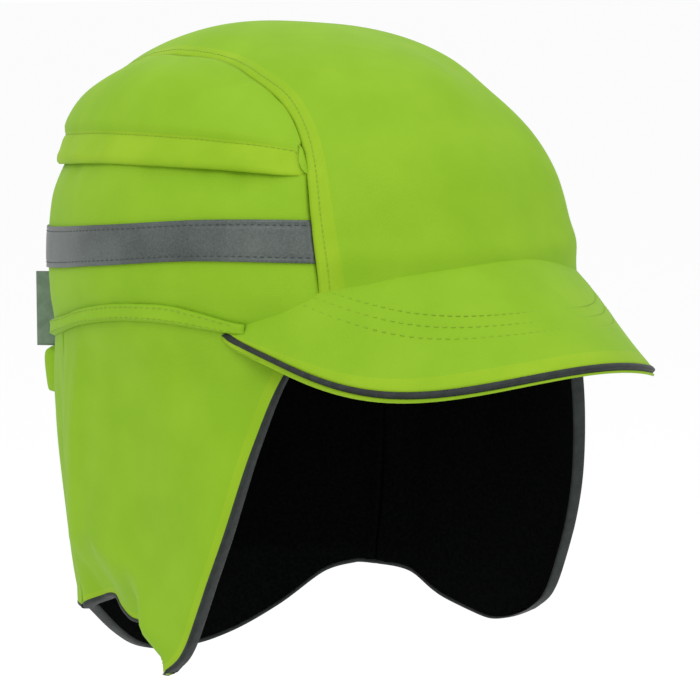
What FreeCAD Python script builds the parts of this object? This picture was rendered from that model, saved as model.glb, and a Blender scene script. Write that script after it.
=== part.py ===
import FreeCAD, Part
import Sketcher
import functools
import math
import os

# Winter bump cap. Millimetres, +Z up, the peak points along -Y and +X is the wearer's left.
# The origin is the middle of the head opening. Side-view outlines are (forward, level)
# points, where forward is -Y and level is Z.

Vector = FreeCAD.Vector
doc = FreeCAD.newDocument("BumpCap")

DRIVING_DIMENSIONS = {
    "CapHalfWidth": 92,
    "CapHalfLength": 111,
    "CrownTop": 114,
    "CrownBase": 5,
    "CrownSkirt": -14,
    "CrownLean": 0.14,
    "CrownPower": 2.35,
    "FlapFlare": 1,
    "FlapFrontPower": 1.2,
    "NapeTaper": 24,
    "NapeTaperDepth": 104,
    "NapeTaperPower": 1.8,
    "FabricThickness": 1.2,
    "LayerGap": 0.2,
    "HemThickness": 3,
    "HemHeight": 9,
    "TapeThickness": 0.6,
    "WeltThickness": 1.2,
    "WeltHeight": 8,
    "WeltGap": 0.4,
    "ShellGap": 0.3,
    "ShellThickness": 2.2,
    "FoamThickness": 4.8,
    "LiningThickness": 1.3,
    "LiningStripWidth": 84,
    "FleeceThickness": 2.8,
    "SweatbandThickness": 1.8,
    "SweatbandHeight": 30,
    "BindingHeight": 5,
    "ShellRise": 8,
    "PipingWidth": 3,
    "PipingProud": 0.8,
    "CreaseGap": 0.7,
    "PeakRoot": 110,
    "PeakLevel": 27,
    "PeakSlope": 0.66,
    "PeakArch": 0.0086,
    "PeakHalfWidth": 83,
    "PeakReach": 106,
    "PeakCentre": 50,
    "PeakCover": 0.8,
    "PeakBoard": 2,
    "PeakPiping": 2.6,
    "PeakPipingProud": 0.5,
    "VentLength": 26,
    "VentWidth": 6,
    "VentPitch": 18,
    "PadWidth": 62,
    "PadLength": 92,
    "EdgePadLow": 26,
    "EdgePadHigh": 74,
    "SidePadLength": 96,
    "TunnelTop": -13.4,
    "TunnelHeight": 19,
    "TunnelWidth": 100,
    "TunnelProud": 8,
    "ElasticHeight": 12,
    "LabelLength": 8.5,
    "LabelHeight": 30,
    "LabelLow": -14.5,
    "LabelThickness": 0.8,
    "LabelSide": 55,
    "LabelClearance": 2.2,
}

# Edge of the crown, from the front round to the nape, and the seams and free edges of
# the right-hand side. The left-hand side is its mirror image.
crown_edge_front = [(125, 33), (108, 26.5), (95, 16.5), (80, 12.3), (56, 7.4)]
crown_edge_side = [(56, 7.4), (27, 10.4), (0, 8.8), (-28, 4.6), (-45, 0.5), (-80, -6), (-112, -9)]
crown_edge_rear = [(-112, -9), (-135, -9)]
side_seam = [
    (81, 8), (77, 31), (66, 61), (52, 80), (33, 92), (0, 101.5), (-50, 98.5), (-85, 80), (-99, 57)
]
eave = [(95, 60), (66, 61), (29, 62.8), (-20, 62.4), (-70, 59), (-99, 57)]
eave_rear = [(-99, 57), (-135, 56)]
tape_top = [(70, 46), (36, 44.3), (-14, 39.8), (-70, 35), (-112, 33), (-135, 32.5)]
tape_bottom = [(75, 31), (36, 30), (-14, 25), (-70, 19.5), (-112, 18), (-135, 18)]
flap_free_edge = [
    (80, 17), (72, -8), (66, -33), (57.5, -66), (45, -98), (37, -113), (20, -124), (0, -127.5),
    (-22, -122.5), (-38, -113), (-50, -110), (-62, -114), (-75, -127.5), (-87, -142)
]
notch = (-50, -110)
lobe_crease_front = (63.3, -45)
neck_crease_level = -112
REACH = 140


def make_sheet():
    sheet = doc.addObject("Spreadsheet::Sheet", "Dimensions")
    for row, (alias, value) in enumerate(DRIVING_DIMENSIONS.items(), start=1):
        sheet.set(f"A{row}", alias)
        sheet.set(f"B{row}", str(value))
        sheet.setAlias(f"B{row}", alias)
    doc.recompute()
    return sheet


sheet = make_sheet()
size = {alias: float(sheet.get(alias)) for alias in DRIVING_DIMENSIONS}


# ---- outlines in the side view ----

def outline_face(*stretches):
    """Closed side-view face: two points make a line, more make a smooth curve."""
    edges = []
    for stretch in stretches:
        points = [Vector(0, -forward, level) for forward, level in stretch]
        if len(points) == 2:
            edges.append(Part.makeLine(points[0], points[1]))
        else:
            curve = Part.BSplineCurve()
            curve.interpolate(points)
            edges.append(curve.toShape())
    return Part.Face(Part.Wire(edges))


def polygon_face(points):
    closed = points + points[:1]
    return outline_face(*[[closed[i], closed[i + 1]] for i in range(len(points))])


def shifted(points, rise):
    return [(forward, level + rise) for forward, level in points]


def backwards(points):
    return points[::-1]


def prism(face):
    """The side-view face carried right across the cap."""
    start = face.copy()
    start.translate(Vector(-REACH, 0, 0))
    return start.extrude(Vector(2 * REACH, 0, 0))


def right_half():
    return Part.makeBox(REACH, 2 * REACH, 2 * REACH, Vector(-REACH, -REACH, -160))


# ---- nested forms that the layers are cut from ----

def crown_form(offset):
    """Dome of superellipse profile on an oval skirt, its radii reduced by offset."""
    half_width = size["CapHalfWidth"] - offset
    stretch = (size["CapHalfLength"] - offset) / half_width
    base = size["CrownBase"]
    rise = size["CrownTop"] - base - offset
    power = 2 / size["CrownPower"]
    arc = []
    for step in range(13):
        angle = math.radians(90 * step / 12)
        radius = half_width * max(math.cos(angle), 0) ** power
        arc.append(Vector(radius if step < 12 else 0, 0, rise * math.sin(angle) ** power))
    curve = Part.BSplineCurve()
    curve.interpolate(arc)
    axis_line = Part.makeLine(arc[-1], Vector(0, 0, 0))
    base_line = Part.makeLine(Vector(0, 0, 0), arc[0])
    profile = Part.Face(Part.Wire([curve.toShape(), axis_line, base_line]))
    dome = profile.revolve(Vector(0, 0, 0), Vector(0, 0, 1), 360)
    shape_matrix = FreeCAD.Matrix()
    shape_matrix.A22 = stretch
    shape_matrix.A23 = size["CrownLean"]
    shape_matrix.A34 = base
    dome = dome.transformGeometry(shape_matrix)
    skirt = Part.makeCylinder(half_width, base - size["CrownSkirt"], Vector(0, 0, size["CrownSkirt"]))
    skirt_matrix = FreeCAD.Matrix()
    skirt_matrix.A22 = stretch
    skirt = skirt.transformGeometry(skirt_matrix)
    return dome.fuse(skirt)


def flap_section(level, offset):
    """Plan outline at one level: squarer in front with depth, drawn in at the nape."""
    depth = max(-level, 0)
    half_width = size["CapHalfWidth"] + size["FlapFlare"] * min(depth / 100, 1) - offset
    front_power = 2 + size["FlapFrontPower"] * min(depth / 85, 1)
    taper = min(depth / size["NapeTaperDepth"], 1) ** size["NapeTaperPower"]
    front = size["CapHalfLength"] - offset
    rear = size["CapHalfLength"] - size["NapeTaper"] * taper - offset
    points = []
    for step in range(40):
        angle = 2 * math.pi * step / 40
        ahead = math.cos(angle)
        across = math.sin(angle)
        length = front if ahead > 0 else rear
        power = front_power if ahead > 0 else 2
        radius = ((abs(across) / half_width) ** power + (abs(ahead) / length) ** power) ** (-1 / power)
        points.append(Vector(radius * across, -radius * ahead, level))
    curve = Part.BSplineCurve()
    curve.interpolate(points, PeriodicFlag=True)
    return Part.Wire([curve.toShape()])


def flap_form(offset):
    levels = [35, 5, -20, -45, -70, -95, -120, -152]
    return Part.makeLoft([flap_section(level, offset) for level in levels], True, False)


@functools.cache
def layer(form, outer, inner, right_only=False):
    """Space between two nested forms, whole or its right half."""
    if right_only:
        return layer(form, outer, inner).common(right_half())
    return form(outer).cut(form(inner))


def carve(form, outer, inner, face, right_only=False):
    return layer(form, outer, inner, right_only).common(prism(face))


# ---- document objects ----

nodes = []


def clean_solid(shape):
    solids = shape.Solids
    return solids[0] if len(solids) == 1 else Part.makeCompound(solids)


def add_shape(label, shape, is_node=True):
    item = doc.addObject("Part::Feature", label)
    item.Shape = clean_solid(shape)
    item.Placement = FreeCAD.Placement()
    item.Label = label
    if is_node:
        nodes.append(item)
    return item


def add_pair(label, form, outer, inner, face):
    """A right-hand piece and its mirror image."""
    right = clean_solid(carve(form, outer, inner, face, right_only=True))
    add_shape(f"{label}_right", right)
    add_shape(f"{label}_left", right.mirror(Vector(0, 0, 0), Vector(1, 0, 0)))


def add_box(label, bounds):
    """Part::Box whose three (low, high) pairs are expressions of the sheet."""
    box = doc.addObject("Part::Box", label)
    for (low, high), axis, side in zip(bounds, "xyz", ("Length", "Width", "Height")):
        box.setExpression(side, f"({high}) - ({low})")
        box.setExpression(f"Placement.Base.{axis}", low)
    return box


def add_boolean(kind, label, base, tool, is_node=True):
    item = doc.addObject(kind, label)
    item.Base = base
    item.Tool = tool
    item.Label = label
    if is_node:
        nodes.append(item)
    return item


# ---- crown ----

fabric = size["FabricThickness"]
gap = size["LayerGap"]
crown_edge = [crown_edge_front, crown_edge_side, crown_edge_rear]


def above_crown_edge(rise):
    """Side-view region from the crown's edge, raised by rise, to above the cap."""
    raised = [shifted(stretch, rise) for stretch in crown_edge]
    top = [(-135, -9 + rise), (-135, 130), (125, 130), (125, 33 + rise)]
    lines = [[top[0], top[1]], [top[1], top[2]], [top[2], top[3]]]
    return outline_face(*raised, *lines)


def drawn_in(points, inset):
    """Side-view points drawn towards the middle of the crown, those 80 mm away by inset."""
    middle = (-20, 40)
    share = 1 - inset / 80
    return [tuple(m + (p - m) * share for p, m in zip(point, middle)) for point in points]


def side_of_crown(inset):
    """Everything below and behind the seam beside the centre panel, drawn in by inset."""
    low = drawn_in([(-135, 56), (-135, -60), (81, -60), (81, 8)], inset)
    lines = [[low[i], low[i + 1]] for i in range(3)]
    return outline_face(drawn_in(side_seam, inset), drawn_in(eave_rear, inset), *lines)


def above_eave(rise=0):
    raised = [shifted(eave, rise), shifted(eave_rear, rise)]
    top = [(-135, 56 + rise), (-135, 130), (95, 130), (95, 60 + rise)]
    return outline_face(*raised, *[[top[i], top[i + 1]] for i in range(3)])


def make_crown_panels():
    crown = above_crown_edge(gap)
    add_shape("centre_panel", carve(crown_form, 0, fabric, crown.cut(side_of_crown(0))))
    side = side_of_crown(gap)
    upper = side.common(above_eave())
    fold = upper.cut(above_eave(size["HemHeight"]))
    band = crown.common(side).cut(above_eave(-gap))
    add_pair("upper_side_panel", crown_form, 0, fabric, upper)
    add_pair("eave_fold", crown_form, -gap - size["HemThickness"], -gap, fold)
    add_pair("side_band", crown_form, 0, fabric, band)


def make_tape():
    ends = [[tape_top[-1], tape_bottom[-1]], [tape_bottom[0], tape_top[0]]]
    region = outline_face(tape_top, ends[0], backwards(tape_bottom), ends[1])
    add_shape("reflective_tape", carve(crown_form, -gap - size["TapeThickness"], -gap, region))


# ---- peak ----

def peak_slab(top, bottom):
    """Arched sheet that slopes forward and down, between two heights over its surface."""
    rear = -20
    half = size["PeakHalfWidth"] + 12
    drop = size["PeakArch"] * half ** 2
    lift = size["PeakLevel"] + size["PeakSlope"] * (size["PeakRoot"] - rear)

    def arch(height, direction):
        poles = [
            Vector(-half * direction, -rear, lift + height - drop),
            Vector(0, -rear, lift + height + drop),
            Vector(half * direction, -rear, lift + height - drop),
        ]
        curve = Part.BezierCurve()
        curve.setPoles(poles)
        return curve.toShape(), poles

    upper, upper_poles = arch(top, 1)
    lower, lower_poles = arch(bottom, -1)
    ends = [
        Part.makeLine(upper_poles[2], lower_poles[0]),
        Part.makeLine(lower_poles[2], upper_poles[0]),
    ]
    section = Part.Face(Part.Wire([upper, ends[0], lower, ends[1]]))
    reach = 200
    return section.extrude(Vector(0, -reach, -reach * size["PeakSlope"]))


def add_peak_plan(label, inset):
    """Upright prism of the peak's oval plan outline, bound to the sheet."""
    oval = doc.addObject("Part::Ellipse", f"{label}_oval")
    oval.setExpression("MajorRadius", f"Dimensions.PeakReach - {inset}")
    oval.setExpression("MinorRadius", f"Dimensions.PeakHalfWidth - {inset}")
    oval.Placement.Rotation = FreeCAD.Rotation(Vector(0, 0, 1), 90)
    oval.setExpression("Placement.Base.y", "-Dimensions.PeakCentre")
    oval.Placement.Base.z = -60
    plan = doc.addObject("Part::Extrusion", label)
    plan.Base = oval
    plan.Dir = Vector(0, 0, 1)
    plan.LengthFwd = 160
    plan.Solid = True
    return plan


def make_peak():
    behind = polygon_face([(50, -60), (50, 130), (-200, 130), (-200, -60)])
    crown_space = add_shape("crown_space", crown_form(-gap).fuse(prism(behind)), is_node=False)
    plan = add_peak_plan("peak_plan", "0")
    plan_inside = add_peak_plan("peak_plan_inside", "Dimensions.PeakPiping")
    plan_covers = add_peak_plan("peak_plan_covers", "(Dimensions.PeakPiping + Dimensions.LayerGap)")
    cover = size["PeakCover"]
    board = size["PeakBoard"]
    proud = size["PeakPipingProud"]
    board_top = cover + gap
    under_top = board_top + board + gap
    total = under_top + cover
    pieces = {
        "peak_cover_top": (0, -cover),
        "peak_board": (-board_top, -board_top - board),
        "peak_cover_under": (-under_top, -total),
    }
    for label, (top, bottom) in pieces.items():
        slab = add_shape(f"{label}_sheet", peak_slab(top, bottom), is_node=False)
        blank = add_boolean("Part::Common", f"{label}_blank", slab, plan_covers, is_node=False)
        add_boolean("Part::Cut", label, blank, crown_space)
    rim = add_boolean("Part::Cut", "peak_rim_plan", plan, plan_inside, is_node=False)
    slab = add_shape("peak_piping_sheet", peak_slab(proud, -total - proud), is_node=False)
    blank = add_boolean("Part::Common", "peak_piping_blank", slab, rim, is_node=False)
    add_boolean("Part::Cut", "peak_piping", blank, crown_space)


# ---- inside the crown ----

shell_outer = fabric + size["ShellGap"]
shell_inner = shell_outer + size["ShellThickness"]
foam_outer = shell_inner + gap
foam_inner = foam_outer + size["FoamThickness"]
lining_outer = foam_inner + gap
lining_inner = lining_outer + size["LiningThickness"]
sweatband_outer = lining_inner + gap
sweatband_inner = sweatband_outer + size["SweatbandThickness"]


def make_shell():
    region = above_crown_edge(size["ShellRise"])
    blank = add_shape("shell_blank", carve(crown_form, shell_outer, shell_inner, region), is_node=False)
    slots = []
    for row, forward in enumerate((52, 0, -52)):
        for column in (-1, 0, 1):
            centre_x = f"{column} * Dimensions.VentPitch"
            centre_y = f"{-forward}"
            bounds = (
                (f"{centre_x} - Dimensions.VentWidth / 2", f"{centre_x} + Dimensions.VentWidth / 2"),
                (f"{centre_y} - Dimensions.VentLength / 2", f"{centre_y} + Dimensions.VentLength / 2"),
                ("60", "130"),
            )
            slots.append(add_box(f"vent_{row}_{column + 1}", bounds))
    vents = doc.addObject("Part::MultiFuse", "vents")
    vents.Shapes = slots
    add_boolean("Part::Cut", "protective_shell", blank, vents)


def make_pads():
    region = above_crown_edge(size["ShellRise"])
    foam = add_shape("foam_sheet", carve(crown_form, foam_outer, foam_inner, region), is_node=False)
    half_width = ("-Dimensions.PadWidth / 2", "Dimensions.PadWidth / 2")
    edge_levels = ("Dimensions.EdgePadLow", "Dimensions.EdgePadHigh")
    side_levels = ("Dimensions.EdgePadLow - 8", "Dimensions.EdgePadHigh - 8")
    half_length = ("-Dimensions.PadLength / 2", "Dimensions.PadLength / 2")
    side_length = ("-Dimensions.SidePadLength / 2", "Dimensions.SidePadLength / 2")
    pads = {
        "crown_pad": (half_width, half_length, ("84", "130")),
        "front_pad": (half_width, ("-130", "-30"), edge_levels),
        "rear_pad": (half_width, ("30", "130"), edge_levels),
        "side_pad_right": (("-110", "-30"), side_length, side_levels),
        "side_pad_left": (("30", "110"), side_length, side_levels),
    }
    for label, bounds in pads.items():
        box = add_box(f"{label}_box", bounds)
        add_boolean("Part::Common", label, foam, box)


def strip_over_edge(low, high, front_only=False):
    region = above_crown_edge(low).cut(above_crown_edge(high))
    if front_only:
        region = region.common(polygon_face([(10, -30), (130, -30), (130, 140), (10, 140)]))
    return region


def make_linings():
    region = above_crown_edge(size["BindingHeight"] + gap)
    half_strip = size["LiningStripWidth"] / 2
    lining = carve(crown_form, lining_outer, lining_inner, region)
    centre = Part.makeBox(2 * half_strip, 2 * REACH, 2 * REACH, Vector(-half_strip, -REACH, -REACH))
    add_shape("crown_lining_centre", lining.common(centre))
    outside = Part.makeBox(REACH, 2 * REACH, 2 * REACH, Vector(-REACH - half_strip - gap, -REACH, -REACH))
    right = clean_solid(lining.common(outside))
    add_shape("crown_lining_right", right)
    add_shape("crown_lining_left", right.mirror(Vector(0, 0, 0), Vector(1, 0, 0)))
    strip = strip_over_edge(gap, size["BindingHeight"])
    add_shape("edge_binding", carve(crown_form, fabric + gap, lining_inner, strip))
    strip = strip_over_edge(gap, size["SweatbandHeight"], front_only=True)
    add_shape("sweatband", carve(crown_form, sweatband_outer, sweatband_inner, strip))


# ---- neck and ear flap ----

def flap_region(inset):
    """Side-view face of the whole flap, drawn in from its free edge by inset."""
    curve = Part.BSplineCurve()
    curve.interpolate([Vector(0, -forward, level) for forward, level in flap_free_edge])
    edge = []
    steps = 40
    for step in range(steps + 1):
        at = curve.FirstParameter + (curve.LastParameter - curve.FirstParameter) * step / steps
        point = curve.value(at)
        along = curve.tangent(at)[0]
        edge.append((-point.y + along.z * inset, point.z + along.y * inset))
    corners = [edge[-1], (-135, edge[-1][1]), (-135, 70), (edge[0][0], 70), edge[0]]
    return outline_face(edge, *[[corners[i], corners[i + 1]] for i in range(4)])


def below_crown_edge():
    low = [(125, 33), (125, -170), (-135, -170), (-135, -9)]
    lines = [[low[0], low[1]], [low[1], low[2]], [low[2], low[3]]]
    return outline_face(
        *lines, backwards(crown_edge_rear), backwards(crown_edge_side), backwards(crown_edge_front)
    )


def crease_level(forward):
    slope = (lobe_crease_front[1] - notch[1]) / (lobe_crease_front[0] - notch[0])
    return notch[1] + slope * (forward - notch[0])


def flap_zones():
    half = size["CreaseGap"] / 2
    seam = notch[0]
    behind = seam - gap
    front = 125
    side_low = [(seam, crease_level(seam) + half), (front, crease_level(front) + half)]
    lobe_top = [(seam + half, crease_level(seam + half) - half), (front, crease_level(front) - half)]
    return {
        "side": polygon_face(side_low + [(front, 70), (seam, 70)]),
        "lobe": polygon_face(lobe_top + [(front, -170), (seam + half, -170)]),
        "neck": polygon_face([(behind, neck_crease_level + half), (behind, 70), (-135, 70),
                              (-135, neck_crease_level + half)]),
        "hem": polygon_face([(seam - half, neck_crease_level - half), (-135, neck_crease_level - half),
                             (-135, -170), (seam - half, -170)]),
    }


def make_flap():
    """Outer cloth, fleece lining and edge piping of the sides, ear lobes, neck and neck hem."""
    whole = flap_region(0)
    piping = whole.cut(flap_region(size["PipingWidth"]))
    border = whole.cut(flap_region(size["PipingWidth"] + gap))
    under = below_crown_edge()
    zones = flap_zones()
    fleece = fabric + gap
    inner = fleece + size["FleeceThickness"]
    proud = size["PipingProud"]
    face_opening = polygon_face([(125, 6), (125, -170), (40, -170), (40, 6)])
    side_piping = piping.common(zones["side"]).common(face_opening)
    side_border = border.common(zones["side"]).common(face_opening)
    side_cloth = whole.common(zones["side"]).common(under).cut(side_border)
    lobe_piping = piping.common(zones["lobe"])
    lobe_cloth = whole.common(zones["lobe"]).cut(border)
    add_pair("flap_side", flap_form, 0, fabric, side_cloth)
    add_pair("flap_lining", flap_form, fleece, inner, side_cloth)
    add_pair("flap_piping", flap_form, -proud, inner + proud, side_piping)
    add_pair("ear_lobe", flap_form, 0, fabric, lobe_cloth)
    add_pair("ear_lobe_lining", flap_form, fleece, inner, lobe_cloth)
    add_pair("ear_lobe_piping", flap_form, -proud, inner + proud, lobe_piping)
    neck_cloth = whole.common(zones["neck"]).common(under)
    add_shape("neck_panel", carve(flap_form, 0, fabric, neck_cloth))
    add_shape("neck_lining", carve(flap_form, fleece, inner, neck_cloth))
    hem_piping = piping.common(zones["hem"])
    hem_cloth = whole.common(zones["hem"]).cut(border)
    add_shape("neck_hem", carve(flap_form, 0, fabric, hem_cloth))
    add_shape("neck_hem_lining", carve(flap_form, fleece, inner, hem_cloth))
    add_shape("neck_hem_piping", carve(flap_form, -proud, inner + proud, hem_piping))


def make_welt():
    half = size["WeltHeight"] / 2
    strip = above_crown_edge(-half).cut(above_crown_edge(half))
    strip = strip.common(polygon_face([(49, -30), (49, 40), (-135, 40), (-135, -30)]))
    inner = -size["WeltGap"]
    add_shape("flap_welt", carve(crown_form, inner - size["WeltThickness"], inner, strip))


def make_nape():
    """Padded tunnel across the nape with its elastic inside."""
    proud = size["TunnelProud"]
    swell = add_shape("tunnel_swell", layer(flap_form, -proud, -gap), is_node=False)
    hollow = add_shape("tunnel_hollow", layer(flap_form, 1.5 - proud, -1.5), is_node=False)
    strap = add_shape("elastic_sheet", layer(flap_form, 3 - proud, -3), is_node=False)
    half_width = ("-Dimensions.TunnelWidth / 2", "Dimensions.TunnelWidth / 2")
    rearward = ("20", "140")
    middle = "Dimensions.TunnelTop - Dimensions.TunnelHeight / 2"
    tunnel_levels = ("Dimensions.TunnelTop - Dimensions.TunnelHeight", "Dimensions.TunnelTop")
    hollow_levels = (
        "Dimensions.TunnelTop - Dimensions.TunnelHeight + 2", "Dimensions.TunnelTop - 2"
    )
    strap_levels = (
        f"{middle} - Dimensions.ElasticHeight / 2", f"{middle} + Dimensions.ElasticHeight / 2"
    )
    outside_box = add_box("tunnel_box", (half_width, rearward, tunnel_levels))
    hollow_box = add_box("hollow_box", (half_width, rearward, hollow_levels))
    strap_box = add_box("strap_box", (half_width, rearward, strap_levels))
    blank = add_boolean("Part::Common", "tunnel_blank", swell, outside_box, is_node=False)
    bore = add_boolean("Part::Common", "tunnel_bore", hollow, hollow_box, is_node=False)
    add_boolean("Part::Cut", "nape_tunnel", blank, bore)
    add_boolean("Part::Common", "nape_elastic", strap, strap_box)


# ---- label ----

def make_label():
    """Loop label that stands out from the side band, beside the nape."""
    body = doc.addObject("PartDesign::Body", "rear_label")
    body.Label = "rear_label"
    sketch = body.newObject("Sketcher::SketchObject", "label_outline")
    plane = [item for item in body.Origin.OriginFeatures if item.Role == "XZ_Plane"][0]
    sketch.AttachmentSupport = [(plane, "")]
    sketch.MapMode = "FlatFace"
    corners = [(0, 0), (10, 0), (10, 20), (0, 20)]
    for index in range(4):
        start = corners[index]
        end = corners[(index + 1) % 4]
        sketch.addGeometry(Part.LineSegment(Vector(*start, 0), Vector(*end, 0)))
    for index in range(4):
        sketch.addConstraint(Sketcher.Constraint("Coincident", index, 2, (index + 1) % 4, 1))
    sketch.addConstraint(Sketcher.Constraint("Horizontal", 0))
    sketch.addConstraint(Sketcher.Constraint("Horizontal", 2))
    sketch.addConstraint(Sketcher.Constraint("Vertical", 1))
    sketch.addConstraint(Sketcher.Constraint("Vertical", 3))
    sketch.addConstraint(Sketcher.Constraint("Coincident", 0, 1, -1, 1))
    width = sketch.addConstraint(Sketcher.Constraint("DistanceX", 0, 1, 0, 2, 10))
    height = sketch.addConstraint(Sketcher.Constraint("DistanceY", 1, 1, 1, 2, 20))
    sketch.setExpression(f"Constraints[{width}]", "Dimensions.LabelLength")
    sketch.setExpression(f"Constraints[{height}]", "Dimensions.LabelHeight")
    pad = body.newObject("PartDesign::Pad", "label_cloth")
    pad.Profile = sketch
    pad.Midplane = True
    pad.setExpression("Length", "Dimensions.LabelThickness")
    body.Tip = pad
    half_width = size["CapHalfWidth"]
    half_length = size["CapHalfLength"]
    across = -size["LabelSide"]
    back = half_length * math.sqrt(1 - (across / half_width) ** 2)
    outward = Vector(across / half_width ** 2, back / half_length ** 2, 0).normalize()
    foot = Vector(across, back, size["LabelLow"]) + outward * size["LabelClearance"]
    turn = FreeCAD.Rotation(Vector(1, 0, 0), outward)
    body.Placement = FreeCAD.Placement(foot, turn)
    nodes.append(body)
    print(f"label hinge through {foot.x:.2f}, {foot.y:.2f}; points along {outward.x:.4f}, {outward.y:.4f}")


def write_parts():
    doc.recompute()
    for item in doc.Objects:
        if "Invalid" in item.State or "Error" in item.State:
            raise RuntimeError(f"{item.Label} failed: {item.State}")
    for item in nodes:
        if item.Shape.isNull() or not item.Shape.isValid() or not item.Shape.Solids:
            raise RuntimeError(f"{item.Label} has no valid solid")
    os.makedirs("parts", exist_ok=True)
    for item in nodes:
        item.Shape.exportStep(f"parts/{item.Label}.step")
        box = item.Shape.optimalBoundingBox(False, False)
        print(f"{item.Label:24s} {len(item.Shape.Solids)} solids {item.Shape.Volume:9.0f} mm3"
              f"  x {box.XMin:.1f}..{box.XMax:.1f}  y {box.YMin:.1f}..{box.YMax:.1f}"
              f"  z {box.ZMin:.1f}..{box.ZMax:.1f}")


make_crown_panels()
make_tape()
make_peak()
make_shell()
make_pads()
make_linings()
make_flap()
make_welt()
make_nape()
make_label()
write_parts()
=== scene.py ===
import bisect
import math

import bmesh
import bpy
from mathutils import Matrix, Vector, noise


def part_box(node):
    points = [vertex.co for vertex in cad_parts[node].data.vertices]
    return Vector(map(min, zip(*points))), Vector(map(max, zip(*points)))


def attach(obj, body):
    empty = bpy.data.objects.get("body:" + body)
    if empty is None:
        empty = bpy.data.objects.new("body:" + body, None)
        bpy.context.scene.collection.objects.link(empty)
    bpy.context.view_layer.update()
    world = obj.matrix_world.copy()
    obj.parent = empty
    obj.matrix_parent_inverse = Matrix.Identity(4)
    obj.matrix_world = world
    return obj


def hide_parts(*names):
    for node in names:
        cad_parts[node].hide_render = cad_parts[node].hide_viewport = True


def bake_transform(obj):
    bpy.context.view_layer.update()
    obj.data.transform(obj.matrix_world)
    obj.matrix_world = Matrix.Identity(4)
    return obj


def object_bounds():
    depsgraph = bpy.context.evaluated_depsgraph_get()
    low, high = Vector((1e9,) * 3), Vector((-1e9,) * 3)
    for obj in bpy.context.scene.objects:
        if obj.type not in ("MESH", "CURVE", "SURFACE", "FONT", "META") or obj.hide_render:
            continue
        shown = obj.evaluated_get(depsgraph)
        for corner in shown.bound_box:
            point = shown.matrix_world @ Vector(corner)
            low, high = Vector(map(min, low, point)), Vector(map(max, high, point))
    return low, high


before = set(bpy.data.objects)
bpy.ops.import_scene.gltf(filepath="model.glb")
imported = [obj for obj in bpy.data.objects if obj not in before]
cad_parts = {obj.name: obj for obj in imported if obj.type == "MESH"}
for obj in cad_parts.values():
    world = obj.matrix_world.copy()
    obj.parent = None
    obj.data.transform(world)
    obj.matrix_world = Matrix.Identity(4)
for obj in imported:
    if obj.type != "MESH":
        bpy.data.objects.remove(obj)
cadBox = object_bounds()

# Winter bump cap. Places are worked out in millimetres and written to the meshes in metres.
# The peak points along -Y and the wearer's left is +X, so "ahead" means -Y below.
# Side lines are (ahead, height) points of the right-hand side, and the left side mirrors them.
mm = 0.001
cap = {
    "halfWidth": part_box("side_band_left")[1].x / mm,
    "halfLength": 111.0,
    "top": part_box("centre_panel")[1].z / mm,
    "base": 5.0,        # the dome starts here, upright walls below
    "power": 2.35,      # 2 is an oval dome, more is squarer
    "lean": 0.145,      # the crown leans back as it rises
    "leanSoft": 4.0,
    "flare": 1.0,
    "frontPower": 1.2,  # the flap gets squarer in front as it goes down
    "napeTaper": 24.0,
    "napeDepth": 104.0,
    "napePower": 1.8,
}
lines = {
    "crownEdge": [(81, 8), (56, 7.4), (27, 10.4), (0, 8.8), (-28, 4.6), (-45, 0.5), (-80, -6), (-112, -9)],
    "seam": [(81, 8), (77, 31), (66, 61), (52, 80), (33, 92), (0, 101.5), (-50, 98.5), (-85, 80), (-99, 57)],
    "eave": [(95, 60), (66, 61), (29, 62.8), (-20, 62.4), (-70, 59), (-99, 57), (-125, 56)],
    "tapeTop": [(80, 46), (36, 44.3), (-14, 39.8), (-70, 35), (-125, 33)],
    "tapeBottom": [(80, 31), (36, 30), (-14, 25), (-70, 19.5), (-125, 18)],
    "flapFront": [(80, 12), (72, -8), (66, -33), (57.5, -66), (45, -98), (37, -113), (27, -121)],
    "lobeBottom": [(27, -121), (14, -126), (0, -127.5), (-22, -122.5), (-38, -113), (-50, -110)],
    "rolledBottom": [(27, -121), (20, -117), (13, -112.5), (6, -108.5), (0, -107.5), (-8, -107), (-16.7, -104.2),
                     (-24, -101), (-37, -103.5), (-50, -110)],
    "neckBottom": [(-50, -110), (-62, -114), (-75, -127.5), (-84, -138), (-87, -141), (-90, -142)],
}


def smoothStep(low, high, value):
    share = min(max((value - low) / (high - low), 0.0), 1.0)
    return share * share * (3 - 2 * share)


def bell(value, width):
    return math.exp(-(value / width) ** 2)


# a smooth line through the points, as evenly spaced samples
def makePath(points, samples=200):
    fine = []
    for index in range(len(points) - 1):
        before = points[index - 1] if index else points[index]
        start = points[index]
        end = points[index + 1]
        after = points[index + 2] if index + 2 < len(points) else end
        for step in range(24):
            t = step / 24
            fine.append([
                0.5 * (2 * b + (c - a) * t + (2 * a - 5 * b + 4 * c - d) * t * t
                       + (3 * b - a - 3 * c + d) * t ** 3)
                for a, b, c, d in zip(before, start, end, after)
            ])
    fine.append(list(points[-1]))
    reach = [0.0]
    for one, two in zip(fine, fine[1:]):
        reach.append(reach[-1] + math.dist(one, two))
    path = []
    for sample in range(samples + 1):
        target = reach[-1] * sample / samples
        index = min(max(bisect.bisect_right(reach, target) - 1, 0), len(fine) - 2)
        t = (target - reach[index]) / max(reach[index + 1] - reach[index], 1e-9)
        path.append([one + (two - one) * t for one, two in zip(fine[index], fine[index + 1])])
    return path


def onPath(path, share):
    place = min(max(share, 0.0), 1.0) * (len(path) - 1)
    index = min(int(place), len(path) - 2)
    t = place - index
    return [one + (two - one) * t for one, two in zip(path[index], path[index + 1])]


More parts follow.
